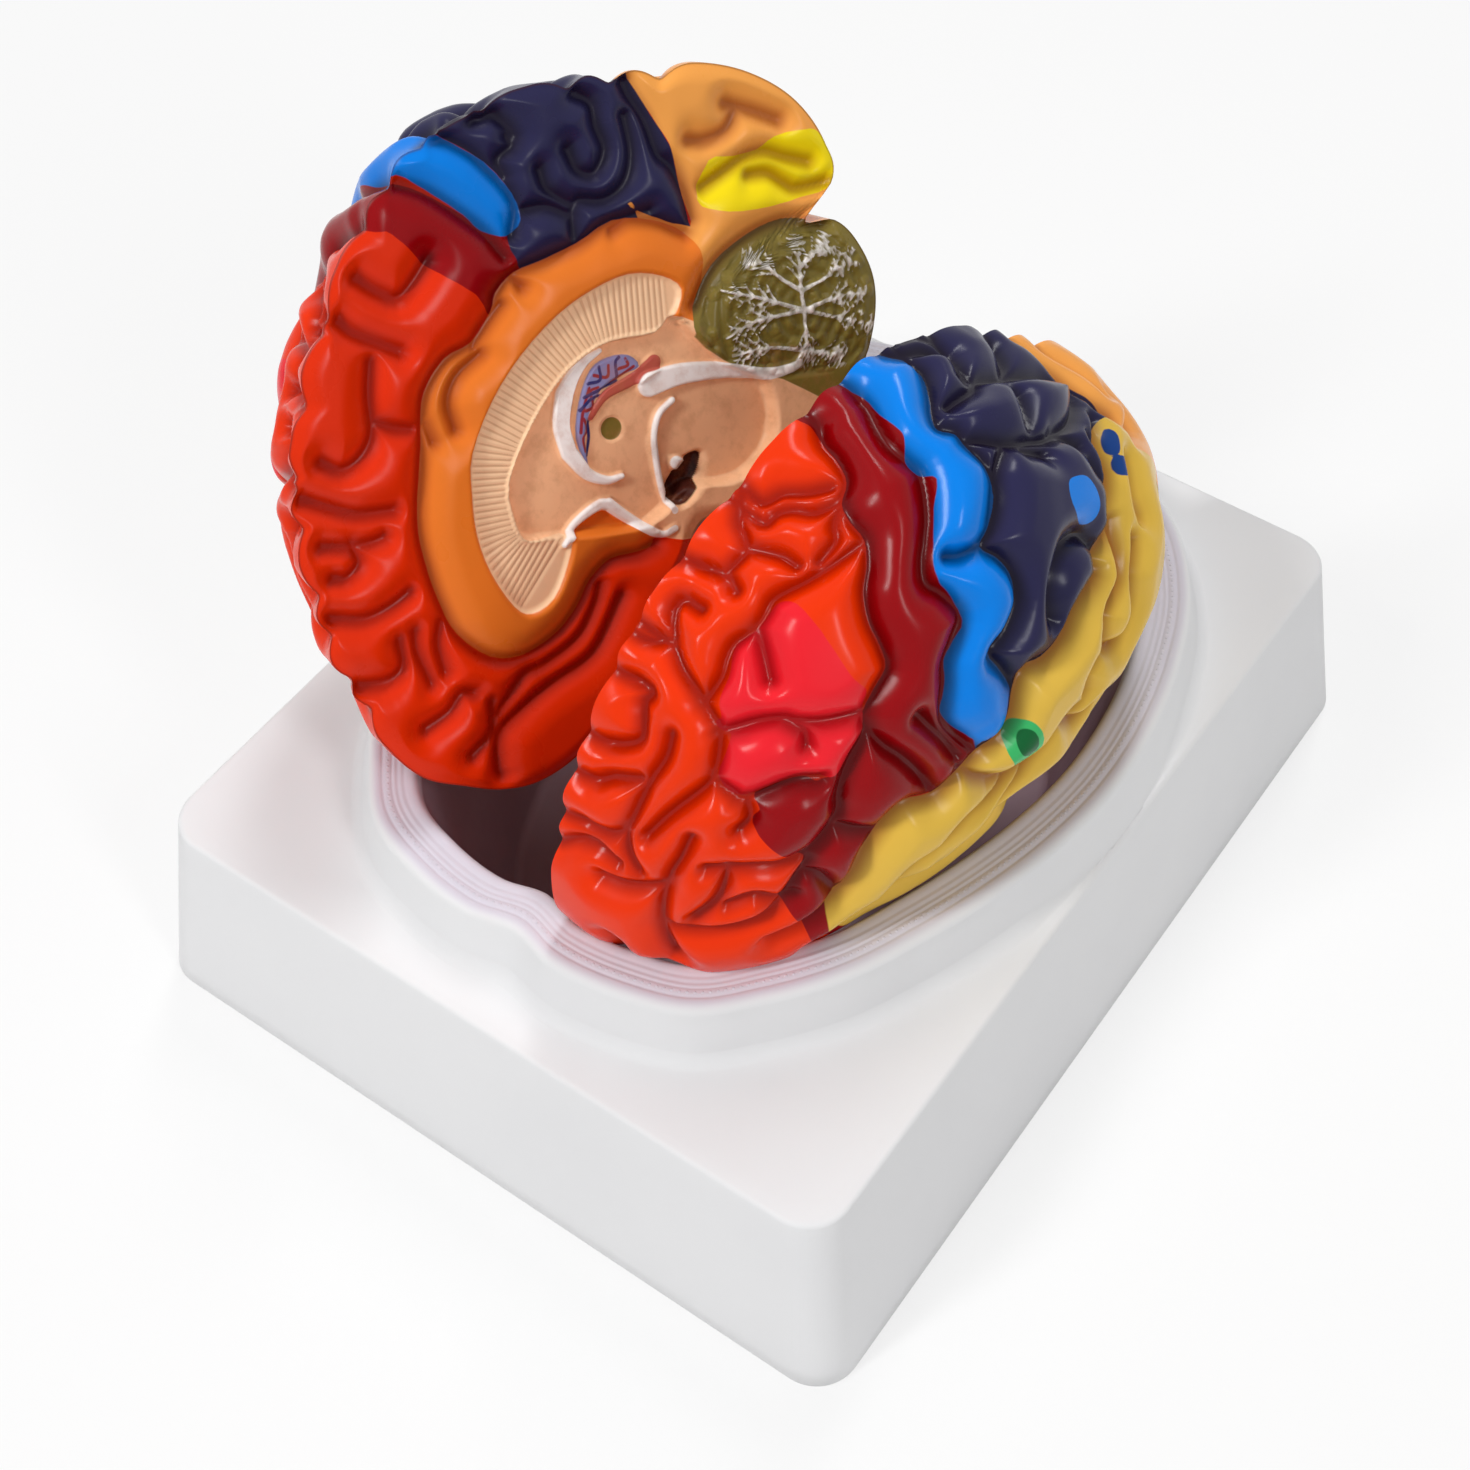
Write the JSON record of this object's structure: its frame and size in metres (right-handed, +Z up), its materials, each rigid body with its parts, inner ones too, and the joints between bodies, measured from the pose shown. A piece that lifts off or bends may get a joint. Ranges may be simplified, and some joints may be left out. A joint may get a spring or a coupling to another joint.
{
  "type": "brain anatomy model",
  "caption": "Painted teaching model of a brain in two half castings that rest tilted in the socket of a moulded stand.",
  "frame": {"origin": "middle of the socket's underside, on the table", "axes": "+Z up; the brain faces -Y, so its left half lies towards +X"},
  "size_m": [0.171, 0.2079, 0.1693],
  "materials": {
    "stand": "white moulded plastic, satin",
    "left_half": "glossy hand-painted casting with a colour for each area",
    "right_half": "glossy hand-painted casting with a colour for each area"
  },
  "bodies": {
    "root": {"stand": "stand", "left_half": "left_half", "right_half": "right_half"}
  },
  "joints": []
}
